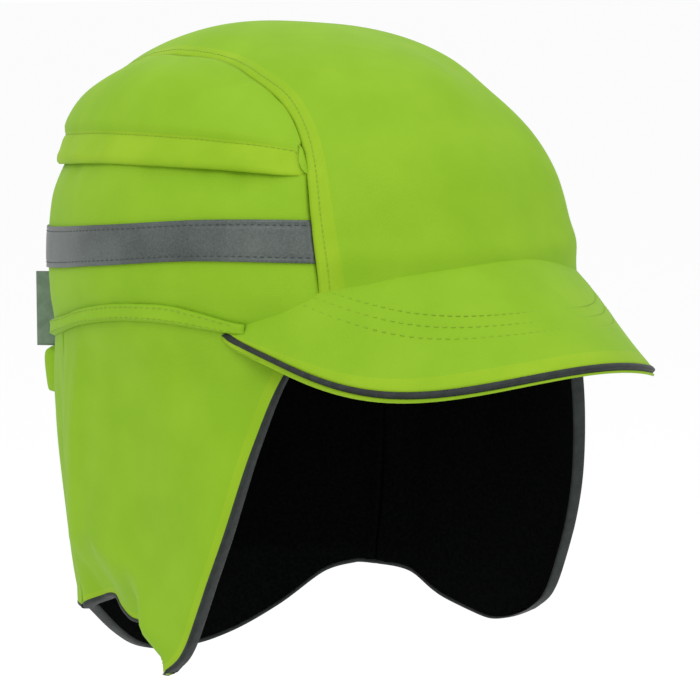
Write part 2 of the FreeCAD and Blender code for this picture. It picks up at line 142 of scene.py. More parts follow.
def heightOver(path, ahead):
    low, high = 0, len(path) - 1
    if ahead >= path[0][0]:
        return path[0][1]
    if ahead <= path[-1][0]:
        return path[-1][1]
    while high - low > 1:
        middle = (low + high) // 2
        if path[middle][0] > ahead:
            low = middle
        else:
            high = middle
    one, two = path[low], path[high]
    return one[1] + (two[1] - one[1]) * (ahead - one[0]) / min(two[0] - one[0], -1e-9)


paths = {name: makePath(points) for name, points in lines.items()}


def leanAt(height):
    rise = max(height - cap["base"], 0.0)
    return cap["lean"] * rise * rise / (rise + cap["leanSoft"])


def crownRadius(height):
    level = min(max((height - cap["base"]) / (cap["top"] - cap["base"]), 0.0), 1.0)
    return (1 - level ** cap["power"]) ** (1 / cap["power"])


# half width, front half length, rear half length, front and rear power of the plan at a height
def planAt(height):
    if height >= cap["base"]:
        radius = crownRadius(height)
        return cap["halfWidth"] * radius, cap["halfLength"] * radius, cap["halfLength"] * radius, 2.0, 2.0
    depth = max(-height, 0.0)
    width = cap["halfWidth"] + cap["flare"] * min(depth / 100, 1)
    taper = min(depth / cap["napeDepth"], 1) ** cap["napePower"]
    rear = cap["halfLength"] - cap["napeTaper"] * taper
    return width, cap["halfLength"], rear, 2 + cap["frontPower"] * min(depth / 85, 1), 2.0


# a point of the cap's surface: turn runs from 0 in front through pi/2 at the side to pi behind
def ringPoint(turn, height, lift=0.0, side=-1):
    width, front, rear, frontPower, rearPower = planAt(height)
    across = math.sin(turn)
    ahead = math.cos(turn)
    length = front if ahead > 0 else rear
    power = frontPower if ahead > 0 else rearPower
    x = width * abs(across) ** (2 / power) * math.copysign(1, across) * side
    y = -length * abs(ahead) ** (2 / power) * math.copysign(1, ahead)
    slope = Vector((
        math.copysign(abs(x / max(width, 1e-6)) ** (power - 1), x) / max(width, 1e-6),
        math.copysign(abs(y / max(length, 1e-6)) ** (power - 1), y) / max(length, 1e-6),
        0,
    ))
    if height > cap["base"]:
        tall = cap["top"] - cap["base"]
        level = min((height - cap["base"]) / tall, 1.0)
        radius = max(crownRadius(height), 1e-3)
        plan = radius ** (cap["power"] - 1) / max(slope.length, 1e-9) / cap["halfWidth"]
        slope = slope * plan
        slope.z = level ** (cap["power"] - 1) / tall
    slope.normalize()
    return Vector((x, y + leanAt(height), height)) + slope * lift


# the turn of a side-line point
def turnAt(ahead, height):
    _, front, rear, frontPower, rearPower = planAt(height)
    ahead = ahead + leanAt(height)
    length = front if ahead > 0 else rear
    power = frontPower if ahead > 0 else rearPower
    share = min(abs(ahead) / max(length, 1e-6), 1.0) ** (power / 2)
    return math.acos(math.copysign(share, ahead))


def sidePoint(ahead, height, side=-1, lift=0.0):
    return ringPoint(turnAt(ahead, height), height, lift, side)


# carries a rough point straight out onto the crown, and stands it off by lift
def ontoCrown(rough, lift=0.0):
    tall = cap["top"] - cap["base"]
    x, y, rise = rough.x, rough.y - leanAt(rough.z), rough.z - cap["base"]
    oval = math.hypot(x / cap["halfWidth"], y / cap["halfLength"])
    power = cap["power"]
    if rise <= 0:
        scale = 1 / max(oval, 1e-6)
        slope = Vector((x / cap["halfWidth"] ** 2, y / cap["halfLength"] ** 2, 0))
        point = Vector((x * scale, y * scale, rough.z))
    else:
        scale = (oval ** power + (rise / tall) ** power) ** (-1 / power)
        x, y, rise = x * scale, y * scale, rise * scale
        oval *= scale
        bend = max(oval, 1e-6) ** (power - 2)
        slope = Vector((
            bend * x / cap["halfWidth"] ** 2,
            bend * y / cap["halfLength"] ** 2,
            (rise / tall) ** (power - 1) / tall,
        ))
        height = rise + cap["base"]
        point = Vector((x, y + leanAt(height), height))
    slope.normalize()
    return point + slope * lift


def seamPoint(share, side, lift=0.0):
    ahead, height = onPath(paths["seam"], share)
    return sidePoint(ahead, height, side, lift)


# the share along a path where its height first reaches a level
def shareAtHeight(path, level):
    for index in range(len(path) - 1):
        if (path[index][1] - level) * (path[index + 1][1] - level) <= 0:
            return index / (len(path) - 1)
    return 0.0


# ---- materials ----

def linear(hexColour):
    channels = [int(hexColour[i:i + 2], 16) / 255 for i in (1, 3, 5)]
    return tuple(c / 12.92 if c <= 0.04045 else ((c + 0.055) / 1.055) ** 2.4 for c in channels) + (1.0,)


def addNode(tree, kind, settings=None, wires=None):
    node = tree.nodes.new(kind)
    for name, value in (settings or {}).items():
        if isinstance(name, int) or name in node.inputs:
            node.inputs[name].default_value = value
        else:
            setattr(node, name, value)
    for name, source in (wires or {}).items():
        tree.links.new(source, node.inputs[name])
    return node


def startMaterial(name, settings):
    material = bpy.data.materials.new(name)
    material.use_nodes = True
    tree = material.node_tree
    shader = tree.nodes["Principled BSDF"]
    for key, value in settings.items():
        shader.inputs[key].default_value = value
    return material, tree, shader


# two sets of threads crossing, from the piece's own cloth coordinates
def weaveHeight(tree, pitch, turn=0.0):
    cloth = addNode(tree, "ShaderNodeUVMap", {"uv_map": "cloth"})
    threads = []
    for quarter in (0.0, math.pi / 2):
        turned = addNode(tree, "ShaderNodeMapping", {"Rotation": (0, 0, turn + quarter)},
                         {"Vector": cloth.outputs["UV"]})
        threads.append(addNode(
            tree, "ShaderNodeTexWave",
            {"Scale": 0.314 / (pitch * mm), "Distortion": 1.2, "Detail": 1.0, "Detail Scale": 2.0},
            {"Vector": turned.outputs["Vector"]},
        ))
    return addNode(tree, "ShaderNodeMath", {"operation": "MAXIMUM"}, {
        0: threads[0].outputs["Fac"], 1: threads[1].outputs["Fac"],
    })


def grain(tree, size, detail=3.0):
    place = addNode(tree, "ShaderNodeTexCoord")
    return addNode(tree, "ShaderNodeTexNoise", {"Scale": 1 / (size * mm), "Detail": detail},
                   {"Vector": place.outputs["Object"]})


def tint(tree, factor, low, high, lowAt, highAt):
    ramp = addNode(tree, "ShaderNodeValToRGB", None, {"Fac": factor})
    ramp.color_ramp.elements[0].position = lowAt
    ramp.color_ramp.elements[0].color = linear(low)
    ramp.color_ramp.elements[1].position = highAt
    ramp.color_ramp.elements[1].color = linear(high)
    return ramp


def setColour(tree, shader, factor, low, high, lowAt=0.35, highAt=0.65):
    colour = tint(tree, factor, low, high, lowAt, highAt)
    tree.links.new(colour.outputs["Color"], shader.inputs["Base Color"])


def addBump(tree, shader, height, depth, strength=1.0, under=None):
    wires = {"Height": height}
    if under:
        wires["Normal"] = under.outputs["Normal"]
    bump = addNode(tree, "ShaderNodeBump", {"Distance": depth * mm, "Strength": strength}, wires)
    tree.links.new(bump.outputs["Normal"], shader.inputs["Normal"])
    return bump


neonCloth = {
    "low": "#7CA719", "high": "#82AC1E",   # fluorescent yellow-green
    "threadPitch": 0.9,                     # the real 0.3 mm threads are too fine to show
    "ripple": 22.0,
}


# coated plain-weave polyester: a dull, even face with fine threads that barely show
def makeNeonCloth(name="coated_polyester_yellow", low=neonCloth["low"], high=neonCloth["high"]):
    material, tree, shader = startMaterial(name, {
        "Roughness": 0.65, "Specular IOR Level": 0.16,
    })
    patches = grain(tree, neonCloth["ripple"], 4.0)
    setColour(tree, shader, patches.outputs["Fac"], low, high)
    soft = addBump(tree, shader, grain(tree, 9.0, 2.0).outputs["Fac"], 0.2, 0.5)
    weave = weaveHeight(tree, neonCloth["threadPitch"])
    addBump(tree, shader, weave.outputs["Value"], 0.05, 0.55, soft)
    return material


# brushed polyester fleece: almost black, matt, with a short uneven pile
def makeFleece():
    material, tree, shader = startMaterial("brushed_fleece_black", {
        "Roughness": 0.95, "Specular IOR Level": 0.02,
    })
    pile = grain(tree, 1.4, 6.0)
    setColour(tree, shader, pile.outputs["Fac"], "#040505", "#0A0B0B")
    clumps = addBump(tree, shader, grain(tree, 9.0, 3.0).outputs["Fac"], 0.8, 0.5)
    addBump(tree, shader, pile.outputs["Fac"], 0.5, 0.8, clumps)
    return material


# woven polyester binding tape: dark grey and dull, with close ribs across it
def makeBinding(name="binding_tape_grey", low="#1C2220", high="#282E2C", pitch=0.8):
    material, tree, shader = startMaterial(name, {
        "Roughness": 0.6, "Specular IOR Level": 0.25,
    })
    setColour(tree, shader, grain(tree, 3.0).outputs["Fac"], low, high)
    ribs = weaveHeight(tree, pitch, 0.6)
    addBump(tree, shader, ribs.outputs["Value"], 0.12, 0.7)
    return material


# retroreflective tape: glass microspheres in grey resin give a satin grey, with a fine speckle that is partly
# their grain and partly painted glints
def makeReflective():
    material, tree, shader = startMaterial("retroreflective_tape_grey", {
        "Roughness": 0.42, "Metallic": 0.35, "Specular IOR Level": 0.5,
    })
    # fine speckle in the colour: bead grain plus painted glints
    beadsAndGlints = grain(tree, 0.8, 2.0)
    clouds = grain(tree, 26.0, 3.0)
    both = addNode(tree, "ShaderNodeMix", {"data_type": "FLOAT", 0: 0.45},
                   {2: clouds.outputs["Fac"], 3: beadsAndGlints.outputs["Fac"]})
    setColour(tree, shader, both.outputs[0], "#3D4441", "#59615D", 0.36, 0.66)
    addBump(tree, shader, beadsAndGlints.outputs["Fac"], 0.06, 0.6)
    return material


# spun polyester thread: a slight shine, close to the colour of the cloth
def makeThread(name, low, high):
    material, tree, shader = startMaterial(name, {"Roughness": 0.5, "Specular IOR Level": 0.4})
    setColour(tree, shader, grain(tree, 1.0).outputs["Fac"], low, high)
    return material


# injection-moulded plastic: fine spark-eroded grain, soft highlights
def makeMoulded(name, low, high, roughness):
    material, tree, shader = startMaterial(name, {"Roughness": roughness, "Specular IOR Level": 0.5})
    setColour(tree, shader, grain(tree, 18.0).outputs["Fac"], low, high)
    addBump(tree, shader, grain(tree, 0.7, 2.0).outputs["Fac"], 0.05, 0.5)
    return material


# closed-cell foam: matt charcoal with small open cells at its skin, each cell painted darker in its hollow as
# painted shade
def makeFoam():
    material, tree, shader = startMaterial("closed_cell_foam_charcoal", {"Roughness": 0.85})
    cells = addNode(tree, "ShaderNodeTexVoronoi", {"Scale": 1 / (1.1 * mm)}, {
        "Vector": addNode(tree, "ShaderNodeTexCoord").outputs["Object"],
    })
    # painted shade: darker towards the middle of each cell, where the bump sinks it into a pit
    setColour(tree, shader, cells.outputs["Distance"], "#2B2D2E", "#3B3E40", 0.1, 0.7)
    addBump(tree, shader, cells.outputs["Distance"], 0.2, 0.6)
    return material


neon = makeNeonCloth()
# a lighter copy of the cloth: painted highlight along hems, folds and seam edges, and painted light on the
# peak's underside
neonPaintedLight = makeNeonCloth("coated_polyester_painted_light", "#82A918", "#8CB01E")
fleece = makeFleece()
binding = makeBinding()
blackTape = makeBinding("woven_tape_black", "#0B0C0D", "#131516", 0.9)
reflective = makeReflective()
neonThread = makeThread("thread_yellow", "#7A9D18", "#86A81E")
darkThread = makeThread("thread_dark_grey", "#2B302E", "#3C4340")
labelCloth = makeBinding("woven_label_grey", "#647765", "#738573", 0.7)
absPlastic = makeMoulded("abs_moulded_black", "#141617", "#1B1D1E", 0.4)
polyethylene = makeMoulded("polyethylene_sheet_black", "#17191A", "#222425", 0.5)
foam = makeFoam()
print("materials made")


# ---- making pieces ----

def addObject(name, data):
    thing = bpy.data.objects.new(name, data)
    bpy.context.scene.collection.objects.link(thing)
    return thing


# turns a bmesh into an object, and frees it
def meshObject(bm, name, *materials):
    mesh = bpy.data.meshes.new(name)
    bm.to_mesh(mesh)
    bm.free()
    for material in materials:
        mesh.materials.append(material)
    for polygon in mesh.polygons:
        polygon.use_smooth = True
    return addObject(name, mesh)


def finishPiece(bm, name, material, facing=1, thickness=0.0, centre=(0, 0, 20)):
    bmesh.ops.remove_doubles(bm, verts=bm.verts, dist=0.004 * mm)
    bm.normal_update()
    middle = Vector(centre) * mm
    outward = sum(
        (face.calc_center_median() - middle).dot(face.normal) * face.calc_area() for face in bm.faces
    )
    if outward * facing < 0:
        bmesh.ops.reverse_faces(bm, faces=bm.faces)
    # faces picked out by hem take the lighter cloth, a painted highlight
    paintedLight = [neonPaintedLight] if any(face.material_index for face in bm.faces) else []
    piece = meshObject(bm, name, material, *paintedLight)
    if thickness:
        wall = piece.modifiers.new("thickness", "SOLIDIFY")
        wall.thickness = thickness * mm
        wall.offset = -1
        freeze(piece)
    return piece


# applies the modifiers of a piece to its mesh
def freeze(piece):
    graph = bpy.context.evaluated_depsgraph_get()
    mesh = bpy.data.meshes.new_from_object(piece.evaluated_get(graph), depsgraph=graph)
    piece.modifiers.clear()
    piece.data = mesh


# a square grid laid on the cap: place(u, v) gives the point and its cloth coordinates, in mm
def clothGrid(name, columns, rows, place, material, facing=1, thickness=0.0, capEnds=False, hem=None):
    bm = bmesh.new()
    cloth = bm.loops.layers.uv.new("cloth")
    bmesh.ops.create_grid(bm, x_segments=columns, y_segments=rows, size=0.5)
    flat, square = {}, {}
    for vert in bm.verts:
        square[vert] = Vector((vert.co.x + 0.5, vert.co.y + 0.5))
        point, flatPlace = place(*square[vert])
        flat[vert] = Vector(flatPlace) * mm
        vert.co = point * mm
    for face in bm.faces:
        middle = sum((square[vert] for vert in face.verts), Vector((0, 0))) / len(face.verts)
        # faces that hem picks out get material 1, the lighter cloth of the painted highlight
        face.material_index = 1 if hem and hem(middle.x, middle.y) else 0
        for loop in face.loops:
            loop[cloth].uv = flat[loop.vert]
    if capEnds:
        bmesh.ops.remove_doubles(bm, verts=bm.verts, dist=0.004 * mm)
        loose = [edge for edge in bm.edges if edge.is_boundary]
        bmesh.ops.holes_fill(bm, edges=loose, sides=0)
        bmesh.ops.recalc_face_normals(bm, faces=bm.faces)
    return finishPiece(bm, name, material, facing, thickness)


# rounded binding swept along a line: line(t) gives the point, outward and inward directions
def bindingPiece(name, line, steps, width, depth, material, length=300.0):
    def place(t, around):
        point, outward, inward = line(t)
        turn = 2 * math.pi * around
        c, s = math.cos(turn), math.sin(turn)
        square = 0.6
        out = math.copysign(abs(c) ** square, c) * depth / 2
        across = math.copysign(abs(s) ** square, s) * width / 2
        return point + outward * out + inward * across, (t * length, around * 2 * (width + depth))
    return clothGrid(name, steps, 20, place, material, capEnds=True)


stitch = {"pitch": 2.6, "long": 1.9, "thick": 0.42}


# a row of single stitches that follows line(t), each a small bead of thread
def stitchRow(name, line, length, material, body="cap", pitch=stitch["pitch"]):
    bm = bmesh.new()
    count = max(int(length / pitch), 2)
    for index in range(count):
        t = (index + 0.5) / count
        here, outward = line(t)
        ahead = (line(min(t + 0.3 / count, 1))[0] - line(max(t - 0.3 / count, 0))[0]).normalized()
        across = outward.cross(ahead).normalized()
        up = ahead.cross(across)
        turn = Matrix((ahead, across, up)).transposed().to_4x4()
        size = Matrix.Diagonal((stitch["long"] / 2 * mm, stitch["thick"] / 2 * mm, stitch["thick"] / 2 * mm, 1))
        place = Matrix.Translation(here * mm) @ turn @ size
        bmesh.ops.create_icosphere(bm, subdivisions=1, radius=1, matrix=place)
    piece = meshObject(bm, name, material)
    if body:
        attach(piece, body)
    return piece


def surfaceNormal(point):
    return (ontoCrown(point, 1.0) - ontoCrown(point, 0.0)).normalized()


# pull of a row of stitches on the cloth beside it
def pucker(alongLine, fromSeam, reach=7.0, depth=0.35, pitch=8.0):
    wave = noise.noise(Vector((alongLine / pitch, 3.7, 0.0)))
    return depth * wave * bell(fromSeam, reach)


def drape(point, size, depth, seed=0.0):
    return depth * noise.noise(Vector((point.x / size, point.y / size, point.z / size + seed)))


# for a strip that runs round the back from side to side: which side, and how far towards the middle
def sideAndShare(u):
    return (-1, 2 * u) if u < 0.5 else (1, 2 * (1 - u))


# ---- crown ----

seamTurn = {"low": turnAt(*lines["seam"][0]), "rear": turnAt(*lines["seam"][-1])}
crownPart = {
    "puff": 1.6,        # how far the cloth stands off the shell between its seams
    "ripple": 0.9,
    "tuck": 1.2,        # the edges dip into their seams
    "rows": 40,         # rows of the upper panel, of which the first ones follow the fold
    # section of the folded lower edge: distance up the panel and stand-off
    "fold": ((0.6, -0.6), (-0.5, 0.8), (-0.9, 1.9), (-0.4, 2.8), (0.6, 3.3), (2.0, 3.3), (4.5, 2.9),
             (8.0, 2.4), (9.4, 1.9), (10.2, 1.3), (11.0, 1.9), (13.0, 2.6)),
}


# height of a side line where the wall faces this way
def levelAt(path, turn, guess=20.0):
    height = guess
    for again in range(4):
        _, front, rear, frontPower, rearPower = planAt(height)
        ahead = math.cos(turn)
        length = front if ahead > 0 else rear
        power = frontPower if ahead > 0 else rearPower
        ahead = length * abs(ahead) ** (2 / power) * math.copysign(1, ahead) - leanAt(height)
        height = heightOver(path, ahead)
    return height


# where the front seam crosses a height, as a turn
def seamTurnAt(height):
    share = shareAtHeight(paths["seam"], min(max(height, 8.3), 60.5))
    return turnAt(*onPath(paths["seam"], share))


# how far the side band stands off the shell
def bandLift(u, turn, height, side):
    low = levelAt(paths["crownEdge"], turn, 5)
    high = levelAt(paths["eave"], turn, 60)
    rise, gap, around = height - low, high - height, turn * 100
    lift = crownPart["puff"] * smoothStep(0, 14, rise) * smoothStep(-4, 14, gap)
    lift *= smoothStep(-0.01, 0.08, u)
    lift += pucker(around, gap, 9, 0.9, 11) + pucker(around, rise, 8, 0.6, 9)
    lift -= crownPart["tuck"] * bell(rise, 1.6) + 0.8 * bell(u * 240, 1.6) + 0.7 * bell((1 - u) * 240, 1.6)
    return lift + drape(ringPoint(turn, height, 0, side), 26, crownPart["ripple"])


def sideBand(side):
    def place(u, v):
        turn = seamTurnAt(8.3 + 52.2 * v)
        turn += (math.pi - turn) * u
        low = levelAt(paths["crownEdge"], turn, 5) - 1.0
        high = levelAt(paths["eave"], turn, 60) + 1.5
        height = low + (high - low) * v
        return ringPoint(turn, height, bandLift(u, turn, height, side), side), (turn * 100, height)
    return place


# the upper side panel and the folded edge that stands out over the side band
def upperPanel(side):
    fold, rows = crownPart["fold"], len(crownPart["fold"])

    def place(u, v):
        start, stop = paths["eave"], paths["seam"]
        eaveLow = turnAt(66, 61) - 0.03
        eaveHigh = turnAt(-99, 57)
        turn = eaveLow + (eaveHigh - eaveLow) * u
        edgeHeight = levelAt(start, turn, 60)
        edge = ringPoint(turn, edgeHeight, 0, side)
        first = shareAtHeight(stop, 60.8)
        top = seamPoint(first + (1 - first) * u, side)
        wide = (top - edge).length
        index = v * crownPart["rows"]
        if index < rows - 1:
            low = int(index)
            t = index - low
            rise = fold[low][0] + (fold[low + 1][0] - fold[low][0]) * t
            lift = fold[low][1] + (fold[low + 1][1] - fold[low][1]) * t
        else:
            rise = 13 + (wide - 13) * (index - rows + 1) / (crownPart["rows"] + 1 - rows)
            lift = 2.6
        ends = smoothStep(0, 0.03, u) * smoothStep(0, 0.10, 1 - u)
        rise = min(rise, wide) if wide > 14 else rise * wide / 14
        share = rise / max(wide, 0.01)
        point = ontoCrown(edge.lerp(top, share))
        gap = max(wide - rise, 0)
        lift = lift * (0.25 + 0.75 * ends) * smoothStep(-5, 26, gap)
        rearFull = 1.4 * smoothStep(0.35, 0.8, u) * bell(rise - 22, 16)
        lift += crownPart["puff"] * smoothStep(0, 18, gap) * smoothStep(4, 16, rise) + rearFull * ends
        lift += pucker(u * 200, rise, 9, 1.0, 10) * smoothStep(0, 2, rise) + pucker(u * 200, gap, 8, 0.5, 9)
        lift -= 0.5 * bell(gap, 1.4)
        lift += drape(point, 24, crownPart["ripple"], 9.0) * smoothStep(2, 12, rise)
        # the front end runs in under the centre panel
        cover = smoothStep(0, 0.035, u)
        return ontoCrown(point, lift * cover - 1.2 * (1 - cover)), (u * 210, rise)
    return place


# where the centre panel ends over the peak
frontEdge = makePath([(112, 22.5), (107, 21), (100, 17.5), (90, 12.2), (81, 6.5)])


def centrePanel(u, v):
    side = 1 if u > 0.5 else -1
    right, left = seamPoint(v, -1), seamPoint(v, 1)
    point = right.lerp(left, u)
    share = abs(2 * u - 1)
    turn = seamTurn["low"] * share
    frontHeight = levelAt(frontEdge, turn, 20)
    point = ontoCrown(point)
    front = ringPoint(turn, frontHeight, 0, side)
    flatFront = ontoCrown(seamPoint(0, -1).lerp(seamPoint(0, 1), u))
    point = point + (front - flatFront) * (1 - v) ** 5
    # the rear edge laps over the side bands
    turn = math.pi - (math.pi - seamTurn["rear"]) * share
    rearHeight = levelAt(paths["eave"], turn, 57) - 2.5 * (1 - share ** 4)
    flatRear = ontoCrown(seamPoint(1, -1).lerp(seamPoint(1, 1), u))
    point = point + (ringPoint(turn, rearHeight, 0, side) - flatRear) * v ** 6
    across = (right - left).length * min(u, 1 - u)
    along = v * 330
    lift = crownPart["puff"] * smoothStep(0, 20, across) - 0.5 * bell(across, 1.4)
    lift += pucker(along, across, 8, 0.7, 8) + drape(point, 34, 1.3, 4.0)
    # soft dents where the cloth spans from the shell down to the peak
    lift -= 2.6 * bell(point.z - 96, 16) * bell(point.y + 80, 30) * smoothStep(10, 40, abs(point.x + 4))
    lift += 1.4 * bell(point.z - 60, 16) * bell(point.y + 100, 36)
    lift += 1.3 * bell(point.z - 33, 6) * smoothStep(-60, -85, point.y)     # lip over the peak
    lift -= 1.2 * bell((1 - v) * 330, 3)
    # a flatter top, and a slack bulge that hides the left seam from in front
    lift -= 1.6 * smoothStep(92, 112, point.z)
    lift += 4.0 * bell(point.z - 66, 30) * smoothStep(20, 50, point.x) * smoothStep(0, 14, across)
    return ontoCrown(point, lift), (u * 170, along)


def addSheet(piece, body="cap"):
    if body:
        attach(piece, body)
    return piece


sides = {"right": -1, "left": 1}
clothThick = 0.9
# the strips beside the seams take the lighter cloth: painted highlight along the seam edges
centre = clothGrid("centrePanel", 90, 150, centrePanel, neon, 1, clothThick,
                   hem=lambda u, v: min(u, 1 - u) < 0.066)
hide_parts("centre_panel")
addSheet(centre)
for sideName, side in sides.items():
    band = clothGrid("sideBand." + sideName, 130, 34, sideBand(side), neon, 1, clothThick)
    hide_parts("side_band_" + sideName)
    addSheet(band)
    # the folded lower edge takes the lighter cloth: painted highlight on the fold
    upper = clothGrid("upperSidePanel." + sideName, 120, 40, upperPanel(side), neon, 1,
                      clothThick, hem=lambda u, v: v < 0.25)
    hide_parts("upper_side_panel_" + sideName, "eave_fold_" + sideName)
    addSheet(upper)
print("crown panels made")


# reflective tape, sewn over the side bands from seam to seam
tapePart = {"proud": 0.9, "thick": 0.5, "stitchIn": 1.7}


def tapePlace(u, v, lift=tapePart["proud"]):
    side, share = sideAndShare(u)
    start = seamTurnAt(31 + 15 * v)
    turn = start + (math.pi - start) * share
    low = levelAt(paths["tapeBottom"], turn, 25)
    high = levelAt(paths["tapeTop"], turn, 40)
    height = low + (high - low) * v
    lift += bandLift(share, turn, height, side)
    lift -= 0.25 * bell(min(height - low, high - height) - tapePart["stitchIn"], 0.6)
    return ringPoint(turn, height, lift, side), (u * 480, height)


tape = clothGrid("reflectiveTape", 300, 16, tapePlace, reflective, 1, tapePart["thick"])
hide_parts("reflective_tape")
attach(tape, "cap")


def tapeStitch(v):
    def line(t):
        point = tapePlace(0.003 + 0.994 * t, v, tapePart["proud"] + 0.1)[0]
        return point, surfaceNormal(point)
    return line


for row, v in (("low", tapePart["stitchIn"] / 14), ("high", 1 - tapePart["stitchIn"] / 14)):
    stitchRow("tapeStitch." + row, tapeStitch(v), 470, darkThread)
print("tape made")


# ---- peak ----

peakPart = {
    "root": 110.0, "level": 27.0, "slope": 0.66, "arch": 0.0086,
    "halfWidth": (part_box("peak_piping")[1].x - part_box("peak_piping")[0].x) / 2 / mm,
    "reach": -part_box("peak_piping")[0].y / mm - 50,
    "centre": 50.0, "thick": 3.8, "piping": 2.5,
    "stitchRows": ((70, 89), (67.5, 85), (65, 81)),     # half width and reach of each oval row
}
junction = makePath([(112, 29.5), (101.6, 25.6), (91.3, 22), (79.8, 17.6), (68.7, 13.2), (55.8, 7.6), (50, 6)])


# height of the peak's top: an arched board, drawn up a little where it joins the crown
def peakHeight(x, ahead):
    def board(across, forward):
        slope = peakPart["slope"] * (forward - peakPart["root"])
        return peakPart["level"] - slope - peakPart["arch"] * across ** 2

    turn = math.atan2(abs(x) / cap["halfWidth"], ahead / cap["halfLength"])
    rootX, rootAhead = cap["halfWidth"] * math.sin(turn), cap["halfLength"] * math.cos(turn)
    away = math.hypot(x - math.copysign(rootX, x), ahead - rootAhead)
    return board(x, ahead) + (heightOver(junction, rootAhead) - board(rootX, rootAhead)) * bell(away, 22)


def peakPoint(u, v, drop=0.0, inset=0.0):
    angle = math.pi / 2 * (2 * u - 1)
    outX = (peakPart["halfWidth"] - inset) * math.sin(angle)
    outAhead = peakPart["centre"] + (peakPart["reach"] - inset) * math.cos(angle)
    turn = angle * math.radians(64) / (math.pi / 2)
    x = (cap["halfWidth"] - 2.5) * math.sin(turn) * (1 - v) + outX * v
    ahead = (cap["halfLength"] - 4.0) * math.cos(turn) * (1 - v) + outAhead * v
    return Vector((x, -ahead, peakHeight(x, ahead) - drop))


def peakTop(u, v):
    point = peakPoint(u, v, 0, 1.2)
    point.z += drape(point, 30, 0.5) - 0.8 * bell((1 - v) * 60, 1.0)
    return point, (point.x, point.y)


# the stiff board lies between the two covers
def peakBoard(u, v):
    return peakPoint(u, v, 1.0, 2.5), (u * 170, v * 60)


def peakUnder(u, v):
    point = peakPoint(u, v, peakPart["thick"] - 0.2, 0.5)
    point.z += 0.5 * bell((1 - v) * 60, 1.5)
    return point, (point.x, point.y)


def peakEdge(t):
    point = peakPoint(t, 1.0, peakPart["thick"] / 2 - 0.4, 1.2)
    outward = (point - peakPoint(t, 0.9, peakPart["thick"] / 2, 1.2)).normalized()
    ahead = (peakPoint(min(t + 0.01, 1), 1.0) - peakPoint(max(t - 0.01, 0), 1.0)).normalized()
    return point, outward, ahead.cross(outward).normalized()


# the outer edge of the peak's top takes the lighter cloth: painted highlight
top = clothGrid("peakTop", 110, 44, peakTop, neon, 1, 0.8, hem=lambda u, v: v > 0.88)
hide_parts("peak_cover_top")
addSheet(top)
# the whole underside is the lighter cloth: painted light on a face that is in shade
under = clothGrid("peakUnder", 90, 30, peakUnder, neonPaintedLight, -1, 0.8)
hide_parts("peak_cover_under")
addSheet(under)
board = clothGrid("peakBoard", 80, 30, peakBoard, polyethylene, 1, 1.0)
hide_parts("peak_board")
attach(board, "cap")
piping = bindingPiece("peakPiping", peakEdge, 140, peakPart["piping"], peakPart["piping"], binding,
                      300)
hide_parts("peak_piping")
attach(piping, "cap")


def peakStitch(wide, reach):
    def line(t):
        angle = math.pi * (0.92 * t - 0.46)
        x, ahead = wide * math.sin(angle), peakPart["centre"] + reach * math.cos(angle)
        return Vector((x, -ahead, peakHeight(x, ahead) + 0.1)), Vector((0, -0.5, 0.85))
    return line


for row, (wide, reach) in enumerate(peakPart["stitchRows"]):
    stitchRow("peakStitch." + str(row), peakStitch(wide, reach), 230, neonThread, pitch=3.2)
print("peak made")


# ---- neck and ear flap ----

flapPart = {
    "thick": 1.2, "fleece": 3.0, "seamAhead": -50.0,
    "piping": 2.2, "pipingDeep": 4.8,
    "leanIn": 12.0,     # how far the right lobe's lower edge leans in
    "foldLength": 9.0,  # cloth that bends where a lobe or the hem turns up
}
crease = {"notch": (-50.0, -110.0), "front": (63.3, -45.0), "neck": -112.0}


# one side of the flap or its lining, stretched between its four edges
def flapSide(side, lift):
    topPath, front = paths["crownEdge"], paths["flapFront"]
    bottom = paths["rolledBottom" if side < 0 else "lobeBottom"]
    seamAhead = flapPart["seamAhead"]

    def place(u, v):
        top = Vector((80 + (seamAhead - 80) * u, 0))
        top.y = heightOver(topPath, top.x) + 1.5
        low = Vector(onPath(bottom, u))
        ahead = Vector(onPath(front, v))
        seam = Vector((seamAhead, heightOver(topPath, seamAhead) + 1.5))
        corner = Vector(onPath(front, 0))
        behind = seam.lerp(Vector(bottom[-1]), v)
        point = top * (1 - v) + low * v + ahead * (1 - u) + behind * u
        point -= corner * (1 - u) * (1 - v) + seam * u * (1 - v)
        point -= Vector(bottom[0]) * (1 - u) * v + Vector(bottom[-1]) * u * v
        return flapFold(point.x, point.y, side, lift, u), (point.x, point.y)
    return place


# the hanging cloth: long soft folds, a flare at the free edge, a dip at the seams
def flapFold(ahead, height, side, lift, u):
    hang = smoothStep(8, -20, height)
    free = smoothStep(-60, -110, height)
    out = 1.5 * hang * math.sin(ahead / 17 + height / 42 + 0.6 * side)
    out += 1.0 * hang * noise.noise(Vector((ahead / 30, height / 46, 5.0 * side)))
    out -= 2.0 * bell(height + 14, 12) * bell(ahead - 10, 40) + 3.5 * bell(height + 9, 9) * bell(ahead - 40, 17)
    out += 1.5 * hang * bell(ahead + 32 - height / 20, 6)
    out -= 1.2 * bell(ahead + 50, 4) * hang
    out += 1.6 * free * math.sin(ahead / 26 + 1.0)
    out *= smoothStep(0, 0.08, u) * 0.9 + 0.1
    if side < 0:
        out, height = rollIn(ahead, height, out, lift)
    return sidePoint(ahead, height, side, lift + out)


# the right lobe's lower edge rolls in under the ear, and the cloth above it leans in
def rollIn(ahead, height, out, lift):
    edge = heightOver(paths["rolledBottom"], ahead)
    rolled = smoothStep(0, 6, ahead) * smoothStep(27, 22, ahead)
    above = height - edge
    between = smoothStep(-50, -36, ahead) * smoothStep(14, 0, ahead)
    out -= flapPart["leanIn"] * smoothStep(26, 0, above) * between
    past = (8 - above) * (1 + 1.5 * rolled)
    if past <= 0 or rolled < 0.02:
        return out, height
    radius = 8 * (1 + 1.5 * rolled) / (rolled * 2.8)
    turn = past / radius
    return out - (radius + lift) * (1 - math.cos(turn)), edge + 8 - (radius + lift) * math.sin(turn)


